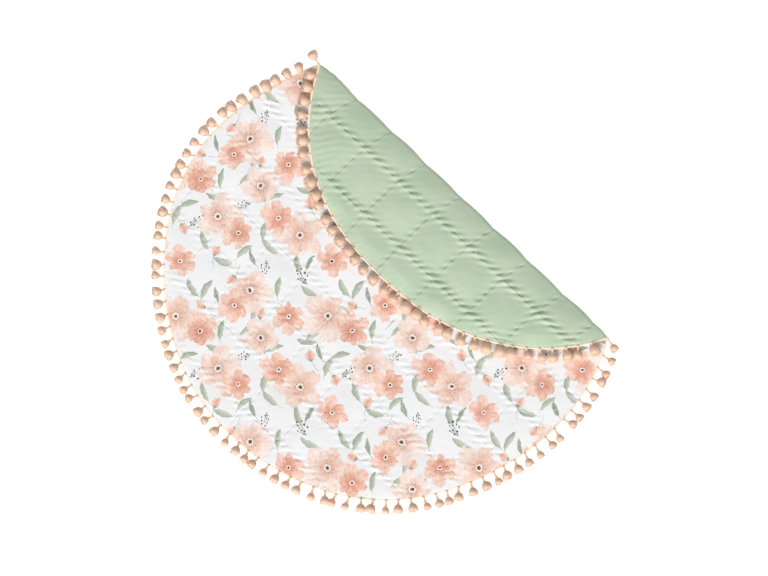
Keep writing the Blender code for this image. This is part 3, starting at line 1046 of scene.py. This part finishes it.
def pompom_points(facts, rest, trim, chance):
    """Strands, stem and core of the pompoms on one length of trim, as tubes of points."""
    turn, reach, lean = (np.array(column) for column in zip(*facts))
    count = len(turn)
    middle = (HEADING_LOW + HEADING_HIGH) / 2
    root = folded(*rim_place(turn, HEADING_GAP + HEADING_WIDTH * 0.6), np.full(count, middle))
    near = folded(*rim_place(turn, 0.0), np.full(count, HEADING_LOW))
    far = folded(*rim_place(turn, HEADING_WIDTH), np.full(count, HEADING_LOW))
    level = (far - near)[:, :2]
    level /= np.linalg.norm(level, axis=1, keepdims=True)
    fuller = FLAP_FULLER if rest > 0 else 1.0
    lean = lean * YARN_LEAN
    cosine, sine = np.cos(lean), np.sin(lean)
    outward = np.stack(
        (cosine * level[:, 0] - sine * level[:, 1], sine * level[:, 0] + cosine * level[:, 1], 0 * lean),
        axis=-1,
    )
    sideways = np.stack((-outward[:, 1], outward[:, 0], 0 * lean), axis=-1)
    upward = np.array((0.0, 0.0, 1.0))
    scale = chance.uniform(0.86, 1.12, count) * fuller
    half_width = trim.head_width / 2 * scale
    half_height = half_width * HEAD_FLATNESS
    # Where the trim is tucked in, the heads start nearer to the heading.
    length = trim.head_length * scale * np.clip(POMPOM_REACH / reach, 1.0, 1.4)
    length = length * fuller
    head_level = rest + 0.0004 + half_height
    neck = root + outward * (reach + YARN_PAST - length)[:, None]
    neck[:, 2] = head_level

    strands = trim.strands
    angle = chance.uniform(0.0, 2 * np.pi, (count, strands))
    share = np.sqrt(chance.uniform(0.0, 1.0, (count, strands)))
    across = (share * np.cos(angle))[..., None] * sideways[:, None] * half_width[:, None, None]
    rising = (share * np.sin(angle))[..., None] * upward * half_height[:, None, None]
    fan = across + rising
    ahead = length[:, None] * (1.0 - 0.16 * share**2) * chance.uniform(0.90, 1.05, share.shape)
    start = neck[:, None] + fan * 0.12
    control = neck[:, None] + fan * 0.95 + outward[:, None] * (length[:, None, None] * 0.16)
    end = neck[:, None] + fan * chance.uniform(0.93, 1.05, share.shape)[..., None]
    end = end + outward[:, None] * ahead[..., None]
    strand_lines = bezier(start, control, end, 4)
    strand_lines[..., 2] = np.maximum(strand_lines[..., 2], rest + trim.strand_radius)

    # The stem runs from the heading to the neck, and swells where the yarn is tied.
    stem_end = neck + outward * (length * 0.15)[:, None]
    lift = (root + stem_end) / 2
    stem_lines = bezier(root, lift, stem_end, 9)
    core_lines = bezier(
        neck + outward * (length * 0.05)[:, None],
        neck + outward * (length * 0.45)[:, None],
        neck + outward * (length * 0.82)[:, None],
        6,
    )
    return strand_lines, stem_lines, core_lines, scale


def add_pompoms(name, node, facts, rest, trim, finish, chance):
    """The pompoms of one length of trim as one mesh of closed strands, stems and cores."""
    strand_lines, stem_lines, core_lines, scale = pompom_points(facts, rest, trim, chance)
    count, strands = strand_lines.shape[:2]
    taper = np.array((0.75, 1.0, 1.0, 0.8)) * trim.strand_radius
    stem_shape = np.array((4.2, 3.6, 3.1, 2.9, 2.9, 3.1, 3.5, 3.9, 2.6)) * 0.001
    core_shape = np.array((0.12, 0.5, 0.72, 0.8, 0.72, 0.3)) * trim.head_width / 2
    strand_points = tubes_along(strand_lines, np.broadcast_to(taper, (count, strands, 4)), 3)
    stem_points = tubes_along(stem_lines, np.broadcast_to(stem_shape, (count, 9)), 7)
    core_points = tubes_along(core_lines, core_shape * scale[:, None], 8)
    groups = (
        (strand_points.reshape(-1, 3), *tube_faces(count * strands, 4, 3)),
        (stem_points.reshape(-1, 3), *tube_faces(count, 9, 7)),
        (core_points.reshape(-1, 3), *tube_faces(count, 6, 8)),
    )
    points, corners, sizes, shift = [], [], [], 0
    for group_points, group_corners, group_sizes in groups:
        points.append(group_points)
        corners.append(group_corners + shift)
        sizes.append(group_sizes)
        shift += len(group_points)
    points = np.concatenate(points)
    points[:, 2] = np.maximum(points[:, 2], rest)
    piece = new_piece(
        name, points, np.concatenate(corners), np.concatenate(sizes), finish, [node]
    )
    # Tone of each point: each strand's own tone at random, lower on the flap's pompoms, with painted shade
    # on it: darker towards the roots deep in the head, on the stem where it runs into the head, and on the
    # core between the strands.
    per_strand = chance.uniform(0.05, 1.0, (count, strands, 1, 1)) * (0.75 if rest > 0 else 1.0)
    along = np.array((0.15, 0.55, 0.9, 1.0))[None, None, :, None]
    strand_tone_and_shade = np.broadcast_to(per_strand * along, (count, strands, 4, 3)).ravel()
    stem_painted_shade = np.tile(np.repeat(np.array((0.5, 0.6, 0.65, 0.6, 0.65, 0.55, 0.3, 0.2, 0.1)), 7), count)
    core_painted_shade = np.full(count * 6 * 8, 0.3)
    set_tone_and_shade(piece, np.concatenate((strand_tone_and_shade, stem_painted_shade, core_painted_shade)))


def set_tone_and_shade(piece, tones):
    """Writes the tone of each point, 0 dark to 1 light, for the yarn's material: the yarn's own tone
    together with painted shade.
    """
    attribute = piece.data.attributes.new("tone", "FLOAT", "POINT")
    attribute.data.foreach_set("value", tones.astype(np.float32).ravel())


def heading_points(stations, sides):
    """The twisted heading: an oval of two plies carried round the rim, in flat coordinates.

    Oval = half width and half height, times 1 + depth * cos(2 (angle - twist * length)).
    """
    turn = (np.arange(stations) * (2 * np.pi / stations) + np.pi)[:, None]
    angle = (2 * np.pi * np.arange(sides) / sides)[None, :]
    run = turn * MAT_RADIUS
    ply = 1.0 + PLY_DEPTH * np.cos(2 * (angle - 2 * np.pi * run / TWIST_LENGTH))
    outset = HEADING_WIDTH / 2 * (1.05 + 1.22 * ply * np.cos(angle))
    middle, half = (HEADING_LOW + HEADING_HIGH) / 2, (HEADING_HIGH - HEADING_LOW) / 2
    height = middle + half * 0.92 * ply * np.sin(angle)
    along, across = rim_place(turn, outset)
    return folded(along, across, height), ply


# Operators


class PLAYMAT_OT_front(Operator):
    """Make the printed, quilted front"""

    bl_idname = "playmat.front"
    bl_label = "Printed Front"

    def execute(self, context):
        cloth = context.scene.mat_cloth
        finish, slot = printed_cotton(cloth), "printed_cotton"
        shape = front_height, cloth, SEAM_HIGH, False
        piece = quilted_cloth("printed_front", *shape, finish, slot, "front_panel")
        return {"FINISHED"}


class PLAYMAT_OT_backing(Operator):
    """Make the sage, quilted backing"""

    bl_idname = "playmat.backing"
    bl_label = "Sage Backing"

    def execute(self, context):
        cloth = context.scene.mat_cloth
        finish, slot = sage_cotton(cloth), "sage_cotton"
        shape = back_height, cloth, SEAM_LOW, True
        piece = quilted_cloth("sage_backing", *shape, finish, slot, "back_panel")
        return {"FINISHED"}


class PLAYMAT_OT_trim(Operator):
    """Make the twisted heading and the yarn pompoms"""

    bl_idname = "playmat.trim"
    bl_label = "Pompom Trim"

    def execute(self, context):
        trim = context.scene.mat_trim
        # Darker and lighter colours of each yarn, picked by its tone, which holds the yarn's own tone and
        # painted shade.
        yarn = yarn_finish("peach_yarn", trim.yarn, shade(214, 168, 136), shade(250, 235, 221))
        cord = yarn_finish("heading_yarn", trim.heading, shade(236, 204, 166), shade(254, 244, 226))
        chance = np.random.default_rng(11)
        lengths = trim_lengths()
        for node, facts, rest in lengths:
            add_pompoms(node.replace("trim", "pompoms"), node, facts, rest, trim, yarn, chance)
        points, ply = heading_points(HEADING_STATIONS, HEADING_SIDES)
        number = np.arange(ply.size).reshape(ply.shape)
        after = np.roll(number, -1, axis=1)
        walls = np.stack(
            (number, np.roll(number, -1, axis=0), np.roll(after, -1, axis=0), after), axis=-1
        ).reshape(-1, 4)
        nodes = [node for node, _, _ in lengths]
        sizes = np.full(len(walls), 4)
        points = points.reshape(-1, 3)
        piece = new_piece("twisted_heading", points, walls.ravel(), sizes, cord, nodes)
        # Painted shade: the heading darker in the grooves between its plies and lighter on their crests.
        set_tone_and_shade(piece, np.clip((ply - 1.0 + PLY_DEPTH) / (2 * PLY_DEPTH), 0, 1))
        return {"FINISHED"}


class PLAYMAT_OT_stage(Operator):
    """Make the floor, the soft light and the camera"""

    bl_idname = "playmat.stage"
    bl_label = "Stage"

    def execute(self, context):
        scene = context.scene
        mesh = bpy.data.meshes.new("play_floor")
        signs = ((-1, -1), (1, -1), (1, 1), (-1, 1))
        corners = [(x * FLOOR_HALF, y * FLOOR_HALF, FLOOR_LEVEL) for x, y in signs]
        mesh.from_pydata(corners, [], [(0, 1, 2, 3)])
        floor = bpy.data.objects.new("play_floor", mesh)
        scene.collection.objects.link(floor)
        paint = Paint("pale_floor", 0.9)
        place = paint.node("ShaderNodeTexCoord", {}, output=3)
        cloud = paint.noise(place, 3.0, 2.0)
        colour = paint.mix(cloud, (0.93, 0.93, 0.93), (0.95, 0.95, 0.95))
        mesh.materials.append(paint.finish(colour, cloud, 0.0001))
        paint.glow((1.0, 1.0, 1.0), FLOOR_GLOW)

        world = bpy.data.worlds.new("soft_room")
        world.use_nodes = True
        background = world.node_tree.nodes["Background"]
        background.inputs["Color"].default_value = (1.0, 1.0, 1.0, 1.0)
        background.inputs["Strength"].default_value = ROOM_LIGHT
        scene.world = world
        lamp = bpy.data.lights.new("low_window", "SUN")
        lamp.angle = WINDOW_ANGLE
        lamp.energy = WINDOW_LIGHT
        held = bpy.data.objects.new("low_window", lamp)
        held.rotation_euler = Vector(WINDOW_DIRECTION).to_track_quat("-Z", "Y").to_euler()
        scene.collection.objects.link(held)

        camera = bpy.data.objects.new("camera", bpy.data.cameras.new("camera"))
        scene.collection.objects.link(camera)
        width = FRAME_PIXELS[0] * METRES_PER_PIXEL
        camera.data.sensor_width = SENSOR
        camera.data.lens = SENSOR * CAMERA_HEIGHT / width
        centre = folded(np.array(CENTRE_ALONG), np.array(CENTRE_ACROSS), np.array(0.0))
        off_x = (CENTRE_PIXEL[0] - FRAME_PIXELS[0] / 2) * METRES_PER_PIXEL
        off_y = (FRAME_PIXELS[1] / 2 - CENTRE_PIXEL[1]) * METRES_PER_PIXEL
        camera.location = (centre[0] - off_x, centre[1] - off_y, CAMERA_HEIGHT)
        scene.camera = camera
        scene.view_settings.view_transform = "Standard"
        return {"FINISHED"}


class PLAYMAT_PT_pieces(Panel):
    """Lists the pieces of the play mat"""

    bl_label = "Play Mat"
    bl_idname = "PLAYMAT_PT_pieces"
    bl_space_type = "VIEW_3D"
    bl_region_type = "UI"
    bl_category = "Play Mat"

    def draw(self, context):
        layout = self.layout
        for maker in MAKERS:
            layout.operator(maker.bl_idname)
        for group in (context.scene.mat_cloth, context.scene.mat_trim):
            for key in group.__annotations__:
                layout.prop(group, key)


MAKERS = (PLAYMAT_OT_front, PLAYMAT_OT_backing, PLAYMAT_OT_trim, PLAYMAT_OT_stage)
CLASSES = (MatCloth, MatTrim, *MAKERS, PLAYMAT_PT_pieces)


def register():
    for entry in CLASSES:
        bpy.utils.register_class(entry)
    bpy.types.Scene.mat_cloth = PointerProperty(type=MatCloth)
    bpy.types.Scene.mat_trim = PointerProperty(type=MatTrim)


def unregister():
    del bpy.types.Scene.mat_trim
    del bpy.types.Scene.mat_cloth
    for entry in reversed(CLASSES):
        bpy.utils.unregister_class(entry)


def main():
    register()
    bpy.ops.playmat.stage()
    bpy.ops.playmat.backing()
    bpy.ops.playmat.front()
    bpy.ops.playmat.trim()


if __name__ == "__main__":
    main()
